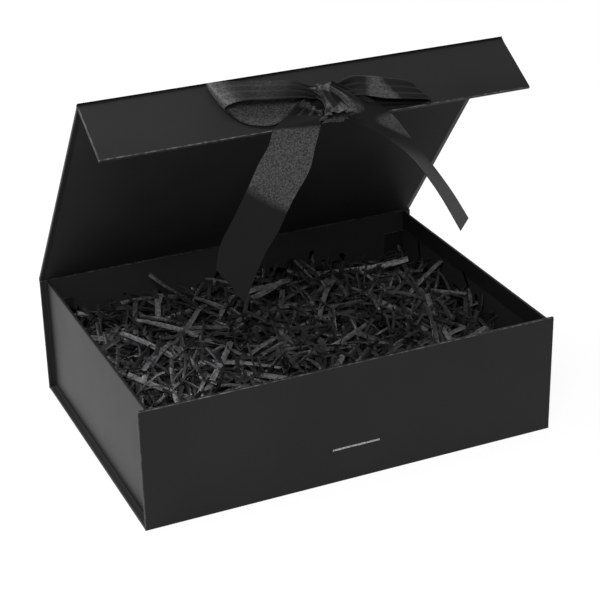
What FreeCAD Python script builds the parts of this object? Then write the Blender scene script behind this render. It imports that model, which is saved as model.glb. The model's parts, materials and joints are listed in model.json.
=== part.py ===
import FreeCAD, Part
import math
import os

# Gift box with a hinged lid and a closing flap, in millimetres.
# X runs along the width, Y from front to back, Z up; the origin is the middle of the base's underside.

# Case panels: board wrapped in cover paper, with turned-in edges under a lining sheet
WIDTH = 330.0
DEPTH = 236.0
HEIGHT = 96.0
BOARD = 2.0
PAPER = 0.2
TURN_IN = 15.0
LINER_MARGIN = 4.0
CREASE = 0.6
CREASE_RADIUS = 1.0

# Lid and flap
LID_OPEN_DEG = 52.4
LID_GAP = 0.3
FLAP_TURN_DEG = 83.3
FLAP_LENGTH = 50.0
FLAP_GAP = 1.0

# Side walls, their paper feet and their stuck tabs
WALL_INSET = 5.0
WALL_FIT = 0.2
FOOT_WIDTH = 18.0
TAB_WIDTH = 18.0
TAB_BOARD = 0.8
TAB_TAPE = 0.2
TAB_BELOW_RIM = 18.0
TAB_FOOT = 3.0

# Magnets in the flap and catch plates in the front panel
MAGNET_RADIUS = 7.5
MAGNET_SPREAD = 200.0
MAGNET_FROM_FOLD = 26.0
DISC_THICKNESS = 1.6
DISC_FIT = 0.15

# Ribbon slits
SLIT_LENGTH = 38.0
SLIT_WIDTH = 2.0
FRONT_SLIT_HEIGHT = 28.0
FLAP_SLIT_FROM_FOLD = 30.0

# Ribbon and bow
RIBBON_WIDTH = 34.0
RIBBON = 0.4
BOW_OFFSET = 8.0
KNOT_RADIUS = 7.5
KNOT_WAIST = 6.0
KNOT_LENGTH = 25.0
KNOT_REST = 1.4
LOOP_REACH_LEFT = 86.0
LOOP_REACH_RIGHT = 80.0
LOOP_CROWN = 15.0
LOOP_TIP = 10.0
LOOP_REST = 1.4
LOOP_SHIFT = 4.0
TAIL_LIFT = 0.9
TAIL_BULGE = 4.0

# Shredded paper fill: a crowned heap, kept to a crust so that it weighs what loose shreds weigh
FILL_FIT = 0.8
FILL_EDGE = 58.0
FILL_CROWN = 12.0
FILL_END_DROP = 6.0
FILL_CRUST = 2.0

PANEL = BOARD + 3 * PAPER
WALL = BOARD + 2 * PAPER
HINGE_STRIP = LID_GAP + PANEL
LID_REACH = DEPTH + FLAP_GAP + PANEL
WALL_OUT = WIDTH / 2 - WALL_INSET
WALL_IN = WALL_OUT - WALL
INNER_FRONT = -DEPTH / 2 + PANEL
INNER_BACK = DEPTH / 2 - PANEL

X_AXIS = FreeCAD.Vector(1, 0, 0)
Y_AXIS = FreeCAD.Vector(0, 1, 0)
Z_AXIS = FreeCAD.Vector(0, 0, 1)


def frame_at(y, z, u, v):
    """Placement whose local axes are u (width), v (along the panel) and their cross product (inwards)."""
    return FreeCAD.Placement(FreeCAD.Vector(0, y, z), FreeCAD.Rotation(u, v, u.cross(v), "XYZ"))


def leaning(degrees):
    """Direction in the side view that points forwards at 0 degrees and turns upwards."""
    turn = math.radians(degrees)
    return FreeCAD.Vector(0, -math.cos(turn), math.sin(turn))


LID_DIRECTION = leaning(LID_OPEN_DEG)
FLAP_DIRECTION = leaning(LID_OPEN_DEG - FLAP_TURN_DEG)
LID_CREASE = FreeCAD.Vector(0, DEPTH / 2, HEIGHT + HINGE_STRIP)
FOLD = LID_CREASE + LID_DIRECTION * LID_REACH

BASE_FRAME = frame_at(INNER_FRONT, 0, X_AXIS, Y_AXIS)
FRONT_FRAME = frame_at(-DEPTH / 2, CREASE_RADIUS, -X_AXIS, Z_AXIS)
SPINE_FRAME = frame_at(DEPTH / 2, CREASE_RADIUS, X_AXIS, Z_AXIS)
LID_FRAME = frame_at(LID_CREASE.y, LID_CREASE.z, X_AXIS, LID_DIRECTION)
FLAP_FRAME = frame_at(FOLD.y, FOLD.z, X_AXIS, FLAP_DIRECTION)


def block(u0, u1, v0, v1, w0, w1):
    """Straight block between two corners."""
    return Part.makeBox(u1 - u0, v1 - v0, w1 - w0, FreeCAD.Vector(u0, v0, w0))


def placed(shape, frame):
    """The shape moved from a panel's own axes into the box's axes."""
    moved = shape.copy()
    moved.Placement = frame.multiply(moved.Placement)
    return moved


def slit(height, depth):
    """Cutter for a ribbon slit that is centred on the width."""
    half_length = SLIT_LENGTH / 2
    half_width = SLIT_WIDTH / 2
    return block(-half_length, half_length, height - half_width, height + half_width, -depth, 2 * depth)


def panel_sheets(start, end, free_start, free_end):
    """Board, cover and liner of one case panel, from start to end along the panel.

    A free edge has its cover paper wrapped round it; at a crease the paper runs on to the next panel.
    """
    half = WIDTH / 2
    board_start = start + PAPER if free_start else start
    board_end = end - PAPER if free_end else end
    window_start = start + TURN_IN if free_start else start
    window_end = end - TURN_IN if free_end else end
    liner_start = start + LINER_MARGIN if free_start else start
    liner_end = end - LINER_MARGIN if free_end else end
    turned = PAPER + BOARD
    board = block(-half + PAPER, half - PAPER, board_start, board_end, PAPER, turned)
    window = block(-half + TURN_IN, half - TURN_IN, window_start, window_end, turned, turned + PAPER)
    cover = block(-half, half, start, end, 0, turned + PAPER).cut(board).cut(window)
    sheet = block(-half + LINER_MARGIN, half - LINER_MARGIN, liner_start, liner_end, turned + PAPER, PANEL)
    liner = sheet.fuse(window).removeSplitter()
    return {"board": board, "cover": cover, "liner": liner}


def disc_pair(height, level, radius, thickness):
    """Two discs, one each side of the middle, let into a board at the given level."""
    discs = []
    for side in (-1, 1):
        centre = FreeCAD.Vector(side * MAGNET_SPREAD / 2, height, level)
        discs.append(Part.makeCylinder(radius, thickness, centre, Z_AXIS))
    return Part.makeCompound(discs)


def add_panel(nodes, name, frame, sheets):
    """Put a panel's three sheets into the node list."""
    for layer, shape in sheets.items():
        nodes[f"{name}_{layer}"] = placed(shape, frame)


def with_slit(sheets, cutter):
    """The same sheets with a slit cut through them."""
    return {layer: shape.cut(cutter) for layer, shape in sheets.items()}


def corner_crease(facing):
    """Paper round the bottom edge between the base and an upright panel; facing is -1 for the front."""
    wall = facing * DEPTH / 2
    inner = CREASE_RADIUS - PAPER
    corner = math.sqrt(0.5)
    centre_y = wall - facing * CREASE_RADIUS
    under_y = wall - facing * PANEL

    def point(y, z):
        return FreeCAD.Vector(-WIDTH / 2, y, z)

    def arc(radius, first, last):
        middle = point(centre_y + facing * radius * corner, CREASE_RADIUS - radius * corner)
        return Part.Arc(first, middle, last).toShape()

    outer_top = point(wall, CREASE_RADIUS)
    outer_low = point(centre_y, 0)
    inner_low = point(centre_y, PAPER)
    inner_top = point(wall - facing * PAPER, CREASE_RADIUS)
    edges = [
        arc(CREASE_RADIUS, outer_top, outer_low),
        Part.makeLine(outer_low, point(under_y, 0)),
        Part.makeLine(point(under_y, 0), point(under_y, PAPER)),
        Part.makeLine(point(under_y, PAPER), inner_low),
        arc(inner, inner_low, inner_top),
        Part.makeLine(inner_top, outer_top),
    ]
    return Part.Face(Part.Wire(edges)).extrude(X_AXIS * WIDTH)


def case_panels(nodes):
    """Base, front, spine, lid and flap, with the creases that join them."""
    add_panel(nodes, "base", BASE_FRAME, panel_sheets(0, DEPTH - 2 * PANEL, False, False))

    upright = HEIGHT - CREASE_RADIUS
    catch_height = HEIGHT + LID_GAP + PANEL - MAGNET_FROM_FOLD - CREASE_RADIUS
    disc_level = PAPER + (BOARD - DISC_THICKNESS) / 2
    front = with_slit(panel_sheets(0, upright, False, True), slit(FRONT_SLIT_HEIGHT - CREASE_RADIUS, PANEL))
    pockets = disc_pair(catch_height, disc_level, MAGNET_RADIUS + DISC_FIT, DISC_THICKNESS)
    front["board"] = front["board"].cut(pockets)
    add_panel(nodes, "front", FRONT_FRAME, front)
    catches = disc_pair(catch_height, disc_level, MAGNET_RADIUS, DISC_THICKNESS)
    nodes["front_catch_plates"] = placed(catches, FRONT_FRAME)

    add_panel(nodes, "spine", SPINE_FRAME, panel_sheets(0, upright, False, False))
    nodes["front_crease"] = corner_crease(-1)
    nodes["back_crease"] = corner_crease(1)

    hinge = block(-WIDTH / 2, WIDTH / 2, DEPTH / 2 - 2 * PAPER, DEPTH / 2, HEIGHT, HEIGHT + HINGE_STRIP)
    nodes["lid_hinge_strip"] = hinge
    add_panel(nodes, "lid", LID_FRAME, panel_sheets(CREASE, LID_REACH - CREASE, False, False))

    flap_start = PANEL + CREASE
    flap = with_slit(panel_sheets(flap_start, FLAP_LENGTH, False, True), slit(FLAP_SLIT_FROM_FOLD, PANEL))
    pockets = disc_pair(MAGNET_FROM_FOLD, disc_level, MAGNET_RADIUS + DISC_FIT, DISC_THICKNESS)
    flap["board"] = flap["board"].cut(pockets)
    add_panel(nodes, "flap", FLAP_FRAME, flap)
    magnets = disc_pair(MAGNET_FROM_FOLD, disc_level, MAGNET_RADIUS, DISC_THICKNESS)
    nodes["flap_magnets"] = placed(magnets, FLAP_FRAME)

    half = WIDTH / 2
    lid_side = placed(block(-half, half, LID_REACH - CREASE, LID_REACH, 0, PAPER), LID_FRAME)
    flap_side = placed(block(-half, half, 0, flap_start, 0, PAPER), FLAP_FRAME)
    nodes["flap_crease"] = lid_side.fuse(flap_side).removeSplitter()


def side_wall(nodes, name, side):
    """One side wall with its cover, lining, foot and end tabs; side is -1 for the left."""
    front = INNER_FRONT + WALL_FIT
    back = INNER_BACK - WALL_FIT
    base_top = PANEL

    def slab(x0, x1, y0, y1, z0, z1):
        low, high = sorted((side * x0, side * x1))
        return block(low, high, y0, y1, z0, z1)

    foot_level = base_top + PAPER
    cover = slab(WALL_OUT - PAPER, WALL_OUT, front, back, foot_level, HEIGHT)
    rim = slab(WALL_IN, WALL_OUT, front, back, HEIGHT - PAPER, HEIGHT)
    turned = slab(WALL_IN, WALL_IN + PAPER, front, back, HEIGHT - TURN_IN, HEIGHT)
    nodes[f"{name}_wall_cover"] = cover.fuse([rim, turned]).removeSplitter()
    board = slab(WALL_IN + PAPER, WALL_OUT - PAPER, front, back, foot_level, HEIGHT - PAPER)
    nodes[f"{name}_wall_board"] = board
    liner = slab(WALL_IN, WALL_IN + PAPER, front, back, foot_level, HEIGHT - TURN_IN)
    nodes[f"{name}_wall_liner"] = liner
    nodes[f"{name}_wall_foot"] = slab(WALL_IN - FOOT_WIDTH, WALL_OUT, front, back, base_top, foot_level)

    tab_low = foot_level + TAB_FOOT
    tab_high = HEIGHT - TAB_BELOW_RIM
    for end, inner, inward in (("front", INNER_FRONT, 1), ("back", INNER_BACK, -1)):
        tape_face = inner + inward * TAB_TAPE
        tab_face = tape_face + inward * TAB_BOARD
        span = (WALL_IN - TAB_WIDTH, WALL_IN)
        nodes[f"{name}_{end}_tab"] = slab(*span, *sorted((tape_face, tab_face)), tab_low, tab_high)
        nodes[f"{name}_{end}_tape"] = slab(*span, *sorted((inner, tape_face)), tab_low, tab_high)


def shred_fill(nodes):
    """Heap of shredded paper: open underneath, crowned on top and lower at its ends."""
    reach = WALL_IN - FILL_FIT
    front = INNER_FRONT + TAB_TAPE + TAB_BOARD + FILL_FIT
    back = INNER_BACK - TAB_TAPE - TAB_BOARD - FILL_FIT
    middle = (front + back) / 2
    floor = PANEL + PAPER + FILL_FIT
    sections = []
    for share in (-1, -0.5, 0, 0.5, 1):
        x = share * reach
        edge = FILL_EDGE - FILL_END_DROP * share * share
        corners = [
            FreeCAD.Vector(x, front, edge),
            FreeCAD.Vector(x, front, floor),
            FreeCAD.Vector(x, back, floor),
            FreeCAD.Vector(x, back, edge),
        ]
        crown = Part.Arc(corners[3], FreeCAD.Vector(x, middle, edge + FILL_CROWN), corners[0]).toShape()
        lines = [Part.makeLine(corners[i], corners[i + 1]) for i in range(3)]
        sections.append(Part.Wire(lines + [crown]))
    heap = Part.makeLoft(sections, True, True)
    hollow_top = FILL_EDGE - FILL_END_DROP - FILL_CRUST
    crust = FILL_CRUST
    hollow = block(-reach + crust, reach - crust, front + crust, back - crust, 0, hollow_top)
    nodes["shred_fill"] = heap.cut(hollow)


def bow_band():
    """Ribbon that goes through the flap's slit and round the flap's free edge."""
    half = RIBBON_WIDTH / 2
    slit_low = FLAP_SLIT_FROM_FOLD - RIBBON / 2
    slit_high = FLAP_SLIT_FROM_FOLD + RIBBON / 2
    edge = FLAP_LENGTH + RIBBON
    inner = block(-half, half, slit_low, edge, PANEL, PANEL + RIBBON)
    outer = block(-half, half, slit_low, edge, -RIBBON, 0)
    round_edge = block(-half, half, FLAP_LENGTH, edge, -RIBBON, PANEL + RIBBON)
    through = block(-half, half, slit_low, slit_high, -RIBBON, PANEL + RIBBON)
    return inner.fuse([outer, round_edge, through]).removeSplitter()


def bow_knot():
    """Gathered knot: a barrel with a drawn-in waist and flared ends, its axis along the flap."""
    level = -KNOT_RADIUS - KNOT_REST
    start = FLAP_SLIT_FROM_FOLD - KNOT_LENGTH / 2
    end = start + KNOT_LENGTH
    middle = (start + end) / 2

    def point(radius, along):
        return FreeCAD.Vector(BOW_OFFSET + radius, along, level)

    flank = Part.Arc(point(KNOT_RADIUS, start), point(KNOT_WAIST, middle), point(KNOT_RADIUS, end)).toShape()
    edges = [
        Part.makeLine(point(0, start), point(KNOT_RADIUS, start)),
        flank,
        Part.makeLine(point(KNOT_RADIUS, end), point(0, end)),
        Part.makeLine(point(0, end), point(0, start)),
    ]
    face = Part.Face(Part.Wire(edges))
    return face.revolve(point(0, start), Y_AXIS, 360)


def bow_loop(side, reach, shift, knot):
    """One loop of the bow: a flat teardrop of ribbon that is pinched by the knot."""
    tip = BOW_OFFSET + side * reach
    tip_half = LOOP_TIP / 2
    bend = tip - side * tip_half
    low = -LOOP_REST
    high = low - LOOP_TIP
    pinch_low = low - KNOT_RADIUS / 2
    pinch_high = pinch_low - 3 * RIBBON
    middle = (BOW_OFFSET + bend) / 2

    def point(u, w):
        return FreeCAD.Vector(u, 0, w)

    start = point(BOW_OFFSET, pinch_high)
    top = point(bend, high)
    bottom = point(bend, low)
    end = point(BOW_OFFSET, pinch_low)
    edges = [
        Part.Arc(start, point(middle, -LOOP_CROWN), top).toShape(),
        Part.Arc(top, point(tip, (low + high) / 2), bottom).toShape(),
        Part.Arc(bottom, point(middle, low), end).toShape(),
        Part.makeLine(end, start),
    ]
    outline = Part.Wire(edges)
    inside = outline.makeOffset2D(-RIBBON)
    ring = Part.Face(outline).cut(Part.Face(inside))
    first = FLAP_SLIT_FROM_FOLD - RIBBON_WIDTH / 2 + shift
    loop = ring.extrude(Y_AXIS * RIBBON_WIDTH)
    loop.translate(Y_AXIS * first)
    return loop.cut(knot)


def strip_station(x, y, z, half_x, half_y, half_z):
    """Cross-section of a hanging ribbon: its middle and the arrow from there to its right edge."""
    across = FreeCAD.Vector(half_x, half_y, half_z)
    facing = FreeCAD.Vector(half_y, -half_x, 0).normalize() * (RIBBON / 2)
    middle = FreeCAD.Vector(x, y, z)
    corners = [middle - across - facing, middle + across - facing, middle + across + facing, middle - across + facing]
    return Part.makePolygon(corners + corners[:1])


# Hanging tails: for each station, the drop below the flap's edge, the place along X, half the width,
# how far the ribbon has turned out of the flap's line in degrees, and the rise of its right edge at a slanted cut
TAIL_LINKS = ("edge", "root", "upper", "end")
LEFT_TAIL = (
    (0, -22, 16.0, 0, 0),
    (8, -28, 17.5, 0, 0),
    (20, -35, 18.5, 0, 0),
    (47, -49, 19.5, 0, 0),
    (108, -75, 12.0, 0, -15),
)
RIGHT_TAIL = (
    (0, 48, 12.0, 0, 0),
    (8, 53, 13.0, 20, 0),
    (20, 61, 15.0, 36, 0),
    (47, 83, 17.0, 48, 0),
    (98, 114, 15.0, 50, 6),
)


def hanging_tail(nodes, name, stations):
    """A tail in four links below the flap's edge, and the lead that lies on the flap above them."""
    edge = FOLD + FLAP_DIRECTION * (FLAP_LENGTH + RIBBON)
    outward = X_AXIS.cross(FLAP_DIRECTION) * -1
    edge = edge + outward * TAIL_LIFT
    sections = []
    for drop, x, half_width, turn, rise in stations:
        bulge = TAIL_BULGE * min(1.0, drop / stations[1][0])
        angle = math.radians(turn)
        half_x = half_width * math.cos(angle)
        half_y = half_width * math.sin(angle)
        sections.append(strip_station(x, edge.y - bulge, edge.z - drop, half_x, half_y, rise))
    for i, link in enumerate(TAIL_LINKS):
        nodes[f"{name}_tail_{link}"] = Part.makeLoft([sections[i], sections[i + 1]], True, True)
    x, half_width = stations[0][1:3]
    side = math.copysign(1, x)
    knot_side = BOW_OFFSET + side * KNOT_RADIUS
    first = FLAP_SLIT_FROM_FOLD
    outline = [
        FreeCAD.Vector(knot_side, first, -TAIL_LIFT),
        FreeCAD.Vector(knot_side + side * half_width, first, -TAIL_LIFT),
        FreeCAD.Vector(x + side * half_width, FLAP_LENGTH, -TAIL_LIFT),
        FreeCAD.Vector(x - side * half_width, FLAP_LENGTH, -TAIL_LIFT),
    ]
    sheet = Part.Face(Part.makePolygon(outline + outline[:1])).extrude(Z_AXIS * RIBBON)
    nodes[f"{name}_tail_lead"] = placed(sheet, FLAP_FRAME)


def ribbon_bow(nodes):
    """Band, knot, loops and tails of the ribbon tied to the flap."""
    knot = bow_knot()
    nodes["ribbon_band"] = placed(bow_band(), FLAP_FRAME)
    nodes["ribbon_knot"] = placed(knot, FLAP_FRAME)
    left = bow_loop(-1, LOOP_REACH_LEFT, -LOOP_SHIFT, knot)
    right = bow_loop(1, LOOP_REACH_RIGHT, LOOP_SHIFT, knot)
    nodes["ribbon_left_loop"] = placed(left, FLAP_FRAME)
    nodes["ribbon_right_loop"] = placed(right, FLAP_FRAME)
    hanging_tail(nodes, "left", LEFT_TAIL)
    hanging_tail(nodes, "right", RIGHT_TAIL)


def main():
    nodes = {}
    case_panels(nodes)
    side_wall(nodes, "left", -1)
    side_wall(nodes, "right", 1)
    shred_fill(nodes)
    ribbon_bow(nodes)
    os.makedirs("parts", exist_ok=True)
    for name, shape in nodes.items():
        shape.exportStep(f"parts/{name}.step")
        print(name, len(shape.Solids), round(shape.Volume, 2), shape.isValid())


main()
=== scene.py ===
"""Black gift box with a hinged lid, a satin bow on its flap and a fill of shredded paper."""

import json
import math

import bmesh
import bpy
import numpy as np
from mathutils import Matrix, Vector, noise

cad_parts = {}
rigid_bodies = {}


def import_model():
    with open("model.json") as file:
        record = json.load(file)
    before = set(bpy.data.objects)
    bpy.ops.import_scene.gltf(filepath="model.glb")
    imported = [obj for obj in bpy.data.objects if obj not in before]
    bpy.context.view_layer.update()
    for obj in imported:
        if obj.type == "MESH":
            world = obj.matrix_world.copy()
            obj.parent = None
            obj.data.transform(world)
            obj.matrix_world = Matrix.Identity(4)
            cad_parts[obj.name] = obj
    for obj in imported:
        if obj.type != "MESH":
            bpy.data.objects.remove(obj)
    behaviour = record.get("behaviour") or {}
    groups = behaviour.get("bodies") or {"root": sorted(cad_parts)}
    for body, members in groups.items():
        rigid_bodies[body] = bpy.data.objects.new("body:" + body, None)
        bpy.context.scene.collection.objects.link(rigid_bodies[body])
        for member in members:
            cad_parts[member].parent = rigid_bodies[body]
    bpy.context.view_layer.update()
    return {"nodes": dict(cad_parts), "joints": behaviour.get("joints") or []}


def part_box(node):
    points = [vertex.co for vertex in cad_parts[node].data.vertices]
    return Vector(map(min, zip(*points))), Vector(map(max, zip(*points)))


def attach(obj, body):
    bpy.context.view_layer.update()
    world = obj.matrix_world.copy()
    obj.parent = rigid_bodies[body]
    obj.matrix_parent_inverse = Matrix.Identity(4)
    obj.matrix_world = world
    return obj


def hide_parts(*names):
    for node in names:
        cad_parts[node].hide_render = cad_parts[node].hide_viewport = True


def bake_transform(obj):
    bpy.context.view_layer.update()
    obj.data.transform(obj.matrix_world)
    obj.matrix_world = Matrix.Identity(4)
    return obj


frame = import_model()

bl_info = {
    "name": "Gift Box",
    "version": (1, 0, 0),
    "blender": (4, 5, 0),
    "location": "View3D > Sidebar > Gift Box",
    "description": "Dresses a rigid gift box: wrapped panels, satin bow, hanging tails and shredded paper",
    "category": "Object",
}

MM = 0.001
AXIS_X = Vector((1, 0, 0))
AXIS_Y = Vector((0, 1, 0))
AXIS_Z = Vector((0, 0, 1))

# Joints and panels of the box: places in metres, and directions
JOINT_AT = {j["name"]: Vector(j["pos_m"]) for j in frame["joints"]}
JOINT_RANGE = {j["name"]: j["range_deg"] for j in frame["joints"]}
LID_CREASE = JOINT_AT["lid_close"]
FOLD = JOINT_AT["flap_fold"]
BASE_LOW, BASE_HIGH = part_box("base_cover")
FRONT_LOW, FRONT_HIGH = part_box("front_cover")
SPINE_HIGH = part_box("spine_cover")[1]
HALF_WIDTH = BASE_HIGH.x
LID_AXIS = (FOLD - LID_CREASE).normalized()
LID_REACH = (FOLD - LID_CREASE).length
LID_INWARD = AXIS_X.cross(LID_AXIS)
FLAP_TURN = math.radians(max(JOINT_RANGE["flap_fold"]))
FLAP_AXIS = Matrix.Rotation(FLAP_TURN, 3, "X") @ LID_AXIS
FLAP_INWARD = AXIS_X.cross(FLAP_AXIS)
FLAP_OUTWARD = -FLAP_INWARD

# Thin sheets and folds of the case, in metres
PAPER = 0.2 * MM
WRAPPED = 2.4 * MM
TURN_IN = 15 * MM
CREASE = 0.6 * MM
EDGE_ROUND = 0.6 * MM
END_CLEARANCE = 0.03 * MM
FLAP_START = 3.2 * MM
FLAP_LENGTH = 50 * MM

# Ribbon slits, in metres: their size, and their middle above the base or away from the fold
SLIT_LENGTH = 38 * MM
SLIT_WIDTH = 2 * MM
FRONT_SLIT_AT = 28 * MM
FLAP_SLIT_AT = 30 * MM

# How pale the paper is made at its edges, from 0 to 1; a panel's long sides get only a share of it.
# On the panels this is scuffing; on the hinge strip it is a painted glint of the crease.
FULL_WEAR = 1.0
LID_WEAR = 0.4
RIM_WEAR = 0.2
FAINT_WEAR = 0.12
# Painted glint of the hinge crease: a little over the whole strip, and more on the lower fold's side that
# looks to the front
HINGE_PAINTED_GLINT = 0.2
HINGE_FOOT_PAINTED_GLINT = 0.5
SIDE_SHARE = 0.4

# Steps of a rounded edge, the angle from which an edge is shaded sharp, and the cosine from which two
# directions count as equal
EDGE_STEPS = 4
SHARP_ANGLE = math.radians(50)
SAME_WAY = 0.99

# Finishes: roughness of cover and lining, the lining's share of the gloss and the shade of torn board
COVER_ROUGHNESS = 0.40
LINING_ROUGHNESS = 0.52
LINING_GLOSS = 0.2
TORN_SHADE = 0.45


class GiftBoxPaper(bpy.types.PropertyGroup):
    """Colours and gloss of the papers and boards."""

    cover_colour: bpy.props.FloatVectorProperty(
        name="Cover colour", description="Colour of the wrapping paper", subtype="COLOR",
        size=4, min=0, max=1, default=(0.0066, 0.0066, 0.0069, 1))
    lining_colour: bpy.props.FloatVectorProperty(
        name="Lining colour", description="Colour of the paper inside the box", subtype="COLOR",
        size=4, min=0, max=1, default=(0.0130, 0.0130, 0.0134, 1))
    # Colour of scuffed edges, and also of the painted glint on the hinge crease
    worn_and_glint_colour: bpy.props.FloatVectorProperty(
        name="Worn edge colour", description="Colour of the paper where its edges are rubbed",
        subtype="COLOR", size=4, min=0, max=1, default=(0.060, 0.060, 0.060, 1))
    board_colour: bpy.props.FloatVectorProperty(
        name="Board colour", description="Colour of the raw board in the slits", subtype="COLOR",
        size=4, min=0, max=1, default=(0.46, 0.46, 0.45, 1))
    gloss: bpy.props.FloatProperty(
        name="Gloss", description="Strength of the paper's reflection", subtype="FACTOR",
        min=0, max=1, default=0.14)


class GiftBoxRibbon(bpy.types.PropertyGroup):
    """Size and colour of the satin ribbon."""

    width: bpy.props.FloatProperty(
        name="Width", description="Width of the ribbon", unit="LENGTH", default=34 * MM)
    thickness: bpy.props.FloatProperty(
        name="Thickness", description="Thickness of the ribbon", unit="LENGTH", default=0.35 * MM)
    colour: bpy.props.FloatVectorProperty(
        name="Colour", description="Colour of the satin", subtype="COLOR",
        size=4, min=0, max=1, default=(0.0185, 0.0185, 0.0190, 1))


class GiftBoxFill(bpy.types.PropertyGroup):
    """Amount and cut of the shredded paper."""

    shred_width: bpy.props.FloatProperty(
        name="Shred width", description="Width of one paper shred", unit="LENGTH", default=2.9 * MM)
    loose_width: bpy.props.FloatProperty(
        name="Loose width", description="Width of the longer shreds on top", unit="LENGTH", default=3.9 * MM)
    bed_count: bpy.props.IntProperty(
        name="Shreds in the bed", description="Number of crinkled shreds in the heap", min=0, default=1500)
    loose_count: bpy.props.IntProperty(
        name="Loose shreds", description="Number of longer shreds that lie on top", min=0, default=240)
    seed: bpy.props.IntProperty(
        name="Seed", description="Number that fixes how the shreds fall", default=3)
    colour: bpy.props.FloatVectorProperty(
        name="Colour", description="Colour of the shredded paper", subtype="COLOR",
        size=4, min=0, max=1, default=(0.0170, 0.0170, 0.0176, 1))


class GiftBoxStage(bpy.types.PropertyGroup):
    """Camera and light."""

    camera_place: bpy.props.FloatVectorProperty(
        name="Camera", description="Place of the camera", subtype="TRANSLATION", unit="LENGTH",
        size=3, default=(-0.4732, -1.1005, 0.6714))
    camera_azimuth: bpy.props.FloatProperty(
        name="Azimuth", description="Turn of the camera about the upright axis", subtype="ANGLE",
        default=math.radians(-23.66))
    camera_elevation: bpy.props.FloatProperty(
        name="Elevation", description="How far the camera looks down", subtype="ANGLE",
        default=math.radians(25.711))
    camera_roll: bpy.props.FloatProperty(
        name="Roll", description="Turn of the camera about its own axis", subtype="ANGLE",
        default=math.radians(-1.218))
    camera_angle: bpy.props.FloatProperty(
        name="Field of view", description="Width of the camera's view", subtype="ANGLE",
        default=math.radians(19.768))
    sky_strength: bpy.props.FloatProperty(
        name="Surroundings", description="Brightness of the white surroundings", min=0, default=0.6)
    key_power: bpy.props.FloatProperty(
        name="Key light", description="Soft light high at the left", min=0, unit="POWER", default=42)
    front_power: bpy.props.FloatProperty(
        name="Front light", description="Soft light high in front, at the left", min=0, unit="POWER",
        default=26)


class Shader:
    """A node material with short calls for its nodes and links."""

    def __init__(self, name):
        self.material = bpy.data.materials.new(name)
        self.material.use_nodes = True
        self.tree = self.material.node_tree
        self.surface = self.tree.nodes["Principled BSDF"]
        self.place = None

    def add(self, kind, **settings):
        """A new node with its properties set."""
        made = self.tree.nodes.new(kind)
        for key, value in settings.items():
            setattr(made, key, value)
        return made

    def link(self, output, socket):
        self.tree.links.new(output, socket)

    def coordinates(self, space="Object"):
        """Coordinates of the piece itself."""
        if self.place is None:
            self.place = self.add("ShaderNodeTexCoord")
        return self.place.outputs[space]

    def grain(self, scale, detail=3.0, stretch=None, space="Object"):
        """Noise of a given fineness, per metre."""
        texture = self.add("ShaderNodeTexNoise")
        texture.inputs["Scale"].default_value = scale
        texture.inputs["Detail"].default_value = detail
        source = self.coordinates(space)
        if stretch is not None:
            mapping = self.add("ShaderNodeMapping")
            mapping.inputs["Scale"].default_value = stretch
            self.link(source, mapping.inputs["Vector"])
            source = mapping.outputs["Vector"]
        self.link(source, texture.inputs["Vector"])
        return texture.outputs["Fac"]

    def span(self, value, low, high, first=0.3, last=0.7):
        """The value moved from the range first to last into the range low to high."""
        node = self.add("ShaderNodeMapRange")
        node.inputs["From Min"].default_value = first
        node.inputs["From Max"].default_value = last
        node.inputs["To Min"].default_value = low
        node.inputs["To Max"].default_value = high
        self.link(value, node.inputs["Value"])
        return node.outputs["Result"]

    def mix(self, factor, first, second):
        """Two colours mixed; each is a colour or a socket."""
        node = self.add("ShaderNodeMix", data_type="RGBA")
        self.link(factor, node.inputs["Factor"])
        for colour, socket in ((first, node.inputs["A"]), (second, node.inputs["B"])):
            if isinstance(colour, bpy.types.NodeSocket):
                self.link(colour, socket)
            else:
                socket.default_value = colour
        return node.outputs["Result"]

    def product(self, first, second):
        """Two values multiplied."""
        node = self.add("ShaderNodeMath", operation="MULTIPLY")
        self.link(first, node.inputs[0])
        self.link(second, node.inputs[1])
        return node.outputs["Value"]

    def attribute(self, name):
        """A named value painted on the mesh."""
        return self.add("ShaderNodeAttribute", attribute_name=name).outputs["Fac"]

    def bump(self, height, strength, distance, below=None):
        """Fine relief from a height; below is relief that it adds to."""
        node = self.add("ShaderNodeBump")
        node.inputs["Strength"].default_value = strength
        node.inputs["Distance"].default_value = distance
        self.link(height, node.inputs["Height"])
        if below is not None:
            self.link(below, node.inputs["Normal"])
        return node.outputs["Normal"]

    def give(self, **sockets):
        """Set or link sockets of the surface; underscores stand for spaces."""
        for key, value in sockets.items():
            socket = self.surface.inputs[key.replace("_", " ")]
            if isinstance(value, bpy.types.NodeSocket):
                self.link(value, socket)
            else:
                socket.default_value = value


def shade(colour, factor):
    """A colour made lighter or darker."""
    return (colour[0] * factor, colour[1] * factor, colour[2] * factor, 1)


def paper_finish(name, colour, gloss, roughness, worn_and_glint=None):
    """Matte paper: faint mottling, fibres in relief and, where asked, pale specks: scuffing on the panels'
    edges, and on the hinge strip a painted glint of its crease.
    """
    paper = Shader(name)
    spread = 0.012
    mottle = paper.span(paper.grain(scale=14, detail=4), 0, 1)
    base = paper.mix(mottle, shade(colour, 0.88), shade(colour, 1.12))
    if worn_and_glint is not None:
        # Pale specks where the attribute asks: scuffing on the panels' edges, and on the hinge strip a painted
        # glint of its crease
        rubbed_and_glint = paper.span(paper.grain(scale=260, detail=5), 0.15, 1, first=0.42, last=0.66)
        base = paper.mix(paper.product(rubbed_and_glint, paper.attribute("wear")), base, tuple(worn_and_glint))
    fibres = paper.grain(scale=1900, detail=5, stretch=(1, 1, 0.6))
    relief = paper.bump(fibres, strength=0.22, distance=0.05 * MM)
    paper.give(
        Base_Color=base,
        Roughness=paper.span(paper.grain(scale=30, detail=2), roughness - spread, roughness + spread),
        Specular_IOR_Level=gloss,
        Normal=relief,
    )
    return paper.material


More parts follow.
